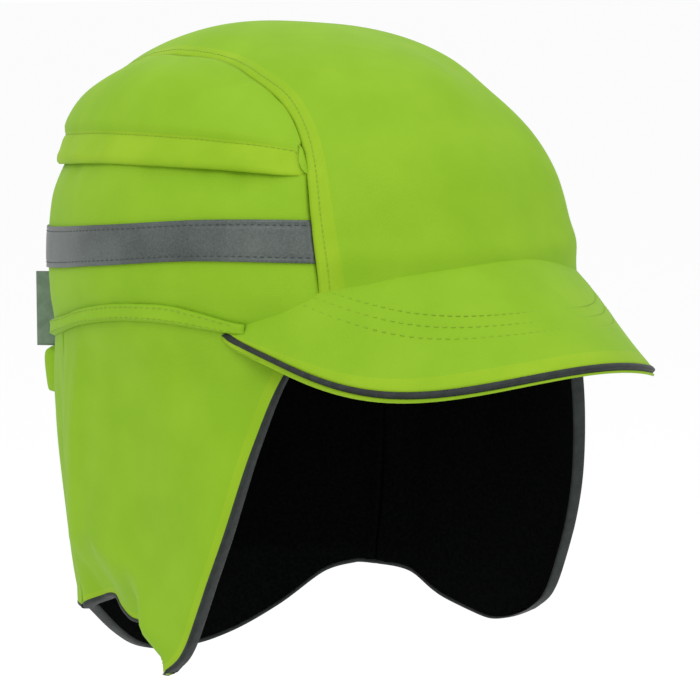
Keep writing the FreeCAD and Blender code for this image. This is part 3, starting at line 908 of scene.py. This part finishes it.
# the neck panel or its lining, from one rear seam round the nape to the other
def neckSheet(lift):
    def place(u, v):
        side, share = sideAndShare(u)
        start = turnAt(-50, -55)
        turn = start + (math.pi - start) * share
        top = levelAt(paths["crownEdge"], turn, 0) + 1.5
        low = levelAt(paths["neckBottom"], turn, -125)
        height = top + (low - top) * v
        first = turnAt(-50, height)
        turn = first + (math.pi - first) * share
        hang = smoothStep(0, -30, height)
        sway = 1.2 * math.sin(turn * 9 + 1.1 * side * (1 - share))
        out = hang * (sway + 0.9 * noise.noise(Vector((turn * 3, height / 40, 2))))
        out += 0.7 * bell(height + 55, 30) * math.sin(turn * 17)
        out *= smoothStep(0, 0.12, share)
        out -= 1.2 * bell(share * 90, 4) * hang
        return ringPoint(turn, height, lift + out, side), (turn * 100 * side, height)
    return place


def neckEdge(t):
    point = neckSheet(-2.3)(t, 1.0)[0]
    above = neckSheet(-2.3)(t, 0.97)[0]
    inward = neckSheet(-4.3)(t, 1.0)[0]
    return point, (point - inward).normalized(), (point - above).normalized()


# line, outward direction and direction away from the cloth along the lobe's free edge
def flapEdge(side):
    outer, inner = flapSide(side, 0), flapSide(side, -4.2)
    corner = 0.56

    def line(t):
        if t < corner:
            u, v, inU, inV = 0, t / corner, 0.03, t / corner
        else:
            u, v, inU, inV = (t - corner) / (1 - corner), 1, (t - corner) / (1 - corner), 0.97
        near, far = outer(u, v)[0], inner(u, v)[0]
        point = near.lerp(far, 0.5)
        inside = outer(inU, inV)[0].lerp(inner(inU, inV)[0], 0.5)
        return point, (near - far).normalized(), (point - inside).normalized()
    return line


# an ear lobe's piece: the middle of the crease between cap and lobe is found, and the piece's placement is baked
# into its mesh
def foldWith(piece, side):
    notch, front = Vector(crease["notch"]), Vector(crease["front"])
    middle, along = (notch + front) / 2, (front - notch).normalized()
    start = sidePoint(middle.x, middle.y, side)
    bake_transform(piece)


def foldNeck(piece):
    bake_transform(piece)


for sideName, side in sides.items():
    # the front and lower hems take the lighter cloth: painted highlight
    outer = clothGrid("flapSide." + sideName, 110, 110, flapSide(side, 0), neon, 1,
                      flapPart["thick"], hem=lambda u, v: u < 0.04 or v > 0.97)
    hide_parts("flap_side_" + sideName, "ear_lobe_" + sideName)
    foldWith(outer, side)
    addSheet(outer, None)
    inner = clothGrid("flapLining." + sideName, 90, 90, flapSide(side, -1.3), fleece, 1,
                      flapPart["fleece"])
    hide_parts("flap_lining_" + sideName, "ear_lobe_lining_" + sideName)
    foldWith(inner, side)
    addSheet(inner, None)
    edge = bindingPiece("flapPiping." + sideName, flapEdge(side), 300, flapPart["piping"],
                        flapPart["pipingDeep"], binding, 300)
    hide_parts("flap_piping_" + sideName, "ear_lobe_piping_" + sideName)
    foldWith(edge, side)

neck = clothGrid("neckPanel", 200, 110, neckSheet(0), neon, 1, flapPart["thick"])
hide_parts("neck_panel", "neck_hem")
foldNeck(neck)
addSheet(neck, None)
neckLining = clothGrid("neckLining", 150, 90, neckSheet(-1.3), fleece, 1, flapPart["fleece"])
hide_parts("neck_lining", "neck_hem_lining")
foldNeck(neckLining)
addSheet(neckLining, None)
neckPiping = bindingPiece("neckPiping", neckEdge, 240, flapPart["piping"], flapPart["pipingDeep"], binding,
                          200)
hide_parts("neck_hem_piping")
foldNeck(neckPiping)
print("flap made")


# ---- welt, nape and label ----

weltPart = {"proud": 2.0, "thick": 0.9}
weltTop = makePath([(60, 9), (54, 9.4), (40, 12.2), (27, 13.9), (12, 13.5), (-5, 12.1), (-28, 8.1), (-45, 3.8),
                    (-80, -2), (-113, -5)])
weltBottom = makePath([(60, 4.6), (54, 4.8), (41, 5.8), (27.5, 6.7), (12.5, 6.6), (-5.5, 5.1), (-29, 1.3),
                       (-52, -4), (-84, -10), (-113, -13)])


def weltPlace(u, v):
    side, share = sideAndShare(u)
    start = turnAt(58, 8)
    turn = start + (math.pi - start) * share
    high = levelAt(weltTop, turn, 5)
    low = levelAt(weltBottom, turn, 0)
    height = low + (high - low) * v
    lift = weltPart["proud"] * smoothStep(0, 0.2, v) * smoothStep(0, 0.12, 1 - v)
    lift += 0.4 * noise.noise(Vector((turn * 14, v * 2, 1)))
    return ringPoint(turn, height, lift, side), (turn * 100, height)


welt = clothGrid("flapWelt", 260, 14, weltPlace, neon, 1, weltPart["thick"])
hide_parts("flap_welt")
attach(welt, "cap")


def weltStitch(v):
    def line(t):
        point = weltPlace(0.01 + 0.98 * t, v)[0]
        return point + surfaceNormal(point) * 0.15, surfaceNormal(point)
    return line


stitchRow("weltStitch.low", weltStitch(0.22), 400, neonThread)
stitchRow("weltStitch.high", weltStitch(0.80), 400, neonThread)


def seamStitch(side, gap):
    def line(t):
        v = 0.02 + 0.96 * t
        share = gap / (seamPoint(v, 1) - seamPoint(v, -1)).length
        point = centrePanel(share if side < 0 else 1 - share, v)[0]
        normal = surfaceNormal(point)
        return point + normal * 0.05, normal
    return line


def eaveStitch(side):
    def line(t):
        u = 0.06 + 0.88 * t
        point = upperPanel(side)(u, 9 / 40)[0]
        normal = surfaceNormal(point)
        return point + normal * 0.1, normal
    return line


for sideName, side in sides.items():
    stitchRow("seamStitch." + sideName, seamStitch(side, 3.6), 320, neonThread)
    stitchRow("eaveStitch." + sideName, eaveStitch(side), 190, neonThread)
print("welt and stitching made")


# inside of the crown: fleece lining, edge binding and a towelling sweatband
linerPart = {
    "depth": 10.9, "thick": 1.0, "strip": 42.0, "bindingHigh": 5.0,
    "sweatbandHigh": 30.0, "sweatbandDeep": 12.3, "sweatbandThick": 1.8,
}


def edgeHeightAt(turn):
    if turn < seamTurn["low"]:
        return levelAt(frontEdge, turn, 20)
    return levelAt(paths["crownEdge"], turn, 5)


def liningCentre(u, v):
    across = linerPart["strip"] * (2 * u - 1)
    side = 1 if across > 0 else -1
    frontTurn = math.asin(abs(across) / 84)
    low = ringPoint(frontTurn, edgeHeightAt(frontTurn) + linerPart["bindingHigh"], 0, side)
    rear = ringPoint(math.pi - frontTurn, -9 + linerPart["bindingHigh"], 0, side)
    angle = math.pi * v
    base = low.lerp(rear, (1 - math.cos(angle)) / 2)
    rough = Vector((base.x, base.y, base.z * abs(math.cos(angle)) + 100 * math.sin(angle)))
    point = ontoCrown(rough)
    sag = 1.2 * bell((abs(across) - linerPart["strip"]) / 3, 1) + drape(point, 30, 1.0, 3.0)
    return ontoCrown(point, -linerPart["depth"] + sag), (across, 300 * v)


def liningSide(side):
    def place(u, v):
        start = math.asin(linerPart["strip"] / 84)
        turn = start + (math.pi - 2 * start) * u
        low = ringPoint(turn, edgeHeightAt(turn) + linerPart["bindingHigh"], 0, side)
        top = liningCentre(1 if side > 0 else 0, min(max(u, 0), 1))[0]
        point = ontoCrown(low.lerp(top, v) + Vector((0, 0, 40 * math.sin(math.pi * v))) * 0.4)
        sag = 1.2 * bell((1 - v) * 20, 1) + drape(point, 30, 1.0, 3.0)
        return ontoCrown(point, -linerPart["depth"] + sag), (turn * 90, v * 90)
    return place


def ringStrip(rise, height, depth, last=math.pi, bulge=0.0):
    def place(u, v):
        side, share = sideAndShare(u)
        turn = last * (share if last == math.pi else 1 - share)
        level = edgeHeightAt(turn) + rise + height * v
        point = ringPoint(turn, level, -depth + bulge * math.sin(math.pi * v), side)
        return point, (turn * 90 * side, level)
    return place


def ringBinding(t):
    side, share = sideAndShare(t)
    turn = math.pi * share
    point = ringPoint(turn, edgeHeightAt(turn) + 2.3, -5.6, side)
    outward = (ringPoint(turn, point.z, 0, side) - ringPoint(turn, point.z, -3, side)).normalized()
    return point, outward, Vector((0, 0, 1))


liningMiddle = clothGrid("liningCentre", 40, 90, liningCentre, fleece, -1, linerPart["thick"])
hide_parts("crown_lining_centre")
addSheet(liningMiddle)
for sideName, side in sides.items():
    liner = clothGrid("lining." + sideName, 70, 36, liningSide(side), fleece, -1,
                      linerPart["thick"])
    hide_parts("crown_lining_" + sideName)
    addSheet(liner)
towel = makeBinding("towelling_black", "#0C0D0E", "#151718", 1.6)
band = clothGrid("sweatBand", 130, 16, ringStrip(0.5, linerPart["sweatbandHigh"], linerPart["sweatbandDeep"],
                 math.radians(83), -0.8), towel, -1, linerPart["sweatbandThick"])
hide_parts("sweatband")
addSheet(band)
rim = bindingPiece("edgeBinding", ringBinding, 160, 4.4, 8.4, blackTape, 600)
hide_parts("edge_binding")
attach(rim, "cap")
print("lining made")


# ---- padded pieces ----

padPart = {"voxel": 4.0, "frames": 20, "pressure": 4.0, "cap": 1.2, "tunnelCap": 2.5}


# a closed copy of a node, blown up a little like stuffed cloth
def puffPiece(name, node, material, most, stretch=1.0):
    bm = bmesh.new()
    bm.from_mesh(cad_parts[node].data)
    bmesh.ops.remove_doubles(bm, verts=bm.verts, dist=0.01 * mm)
    for vert in bm.verts if stretch != 1 else ():
        x, y = vert.co.x / cap["halfWidth"], vert.co.y / cap["halfLength"]
        reach, turn = math.hypot(x, y), math.atan2(x, y) * stretch
        vert.co.x = cap["halfWidth"] * reach * math.sin(turn)
        vert.co.y = cap["halfLength"] * reach * math.cos(turn)
    piece = meshObject(bm, name)
    remesh = piece.modifiers.new("remesh", "REMESH")
    remesh.mode = "VOXEL"
    remesh.voxel_size = padPart["voxel"] * mm
    freeze(piece)
    rest = [vert.co.copy() for vert in piece.data.vertices]
    cloth = piece.modifiers.new("cloth", "CLOTH")
    cloth.settings.use_pressure = True
    cloth.settings.uniform_pressure_force = padPart["pressure"]
    cloth.settings.effector_weights.gravity = 0
    for step in range(1, padPart["frames"] + 1):
        bpy.context.scene.frame_set(step)
    freeze(piece)
    for vert, start in zip(piece.data.vertices, rest):
        moved = vert.co - start
        if moved.length > most * mm:
            vert.co = start + moved.normalized() * most * mm
    bpy.context.scene.frame_set(1)
    smooth = piece.modifiers.new("smooth", "SUBSURF")
    smooth.levels = smooth.render_levels = 1
    freeze(piece)
    piece.data.materials.clear()
    piece.data.materials.append(material)
    for polygon in piece.data.polygons:
        polygon.use_smooth = True
    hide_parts(node)
    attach(piece, "cap")
    return piece


for node in ("crown_pad", "front_pad", "rear_pad", "side_pad_right", "side_pad_left"):
    puffPiece(node.replace("_p", "P").replace("_r", "R").replace("_l", "L"), node, foam,
              padPart["cap"])
puffPiece("napeTunnel", "nape_tunnel", neon, padPart["tunnelCap"], 1.3)
print("padded pieces made")


# ---- elastic and label ----

labelPart = {"low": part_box("rear_label")[0].z / mm, "high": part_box("rear_label")[1].z / mm, "reach": 7.4}
labelHinge = Vector((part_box("rear_label")[1].x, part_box("rear_label")[0].y, 0)) / mm
labelAway = Vector((-0.6689, 0.7434, 0))


def elasticPlace(u, v):
    low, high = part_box("nape_elastic")[0] / mm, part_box("nape_elastic")[1] / mm
    x = low.x + (high.x - low.x) * u
    height = low.z + (high.z - low.z) * v
    turn = math.pi - math.asin(min(abs(x) / cap["halfWidth"], 1))
    point = ringPoint(turn, height, 1.4 + 0.5 * math.sin(u * 60), 1 if x > 0 else -1)
    return point, (x, height)


elastic = clothGrid("napeElastic", 160, 6, elasticPlace, blackTape, 1, 1.2)
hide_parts("nape_elastic")
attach(elastic, "cap")


# the label is one strip folded at its outer end, both ends sewn in
def labelPlace(u, v):
    out = labelPart["reach"] * (1 - abs(2 * u - 1))
    apart = 0.45 * math.sin(math.pi * min(out / labelPart["reach"], 1) * 0.5 + 0.3) * math.copysign(1, 2 * u - 1)
    across = Vector((-labelAway.y, labelAway.x, 0))
    height = labelPart["low"] + 0.3 + (labelPart["high"] - labelPart["low"] - 0.6) * v
    curve = 0.6 * math.sin(out / 9) * (v - 0.4)
    point = labelHinge + labelAway * (out + 0.9) + across * (apart + curve)
    return point + Vector((0, 0, height)), (u * 26, height)


label = clothGrid("rearLabel", 40, 24, labelPlace, labelCloth, 1, 0.3)
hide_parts("rear_label")
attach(label, "label")
print("label made")


# the moulded shell keeps its own shape
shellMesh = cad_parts["protective_shell"].data
shellMesh.materials.clear()
shellMesh.materials.append(absPlastic)


# ---- floor, light and camera ----

studio = {
    "turn": -40.0, "rise": 7.0, "distance": 1.25, "aim": (0.0109, -0.00915, -0.012), "lens": 167.1,
    "floorDrop": 0.30, "floorSize": 60.0, "sky": 1.0,
    # name, turn, rise, distance, size, power
    "lights": (("key", -75, 50, 1.6, 0.9, 5), ("fill", 10, 35, 1.8, 1.2, 3), ("top", -20, 88, 1.5, 1.0, 3)),
}


def addFloor():
    bm = bmesh.new()
    bmesh.ops.create_grid(bm, x_segments=1, y_segments=1, size=studio["floorSize"] / 2)
    paint = {"Base Color": (0.97, 0.97, 0.97, 1), "Roughness": 1.0, "Specular IOR Level": 0.0}
    floor = meshObject(bm, "floor", startMaterial("floor_white_paint", paint)[0])
    floor.location.z = cadBox[0].z - studio["floorDrop"]


# direction from the aim towards a light or the camera
def wayBack(turn, rise):
    turn, rise = math.radians(turn), math.radians(rise)
    return Vector((math.sin(turn) * math.cos(rise), -math.cos(turn) * math.cos(rise), math.sin(rise)))


def addLight(name, turn, rise, distance, size, power):
    back = wayBack(turn, rise)
    data = bpy.data.lights.new(name, "AREA")
    data.shape = "DISK"
    data.size = size
    data.energy = power
    light = addObject(name, data)
    light.location = Vector(studio["aim"]) + back * distance
    light.rotation_euler = back.to_track_quat("Z", "Y").to_euler()


def addCamera():
    back = wayBack(studio["turn"], studio["rise"])
    data = bpy.data.cameras.new("camera")
    data.lens = studio["lens"]
    data.sensor_width = 36
    data.clip_end = 200
    camera = addObject("camera", data)
    camera.location = Vector(studio["aim"]) + back * studio["distance"]
    camera.rotation_euler = back.to_track_quat("Z", "Y").to_euler()
    bpy.context.scene.camera = camera


addFloor()
for light in studio["lights"]:
    addLight(*light)
world = bpy.data.worlds.new("studio")
bpy.context.scene.world = world
world.use_nodes = True
world.node_tree.nodes["Background"].inputs["Color"].default_value = (1, 1, 1, 1)
world.node_tree.nodes["Background"].inputs["Strength"].default_value = studio["sky"]
bpy.context.scene.view_settings.view_transform = "Standard"
addCamera()
print("studio ready")
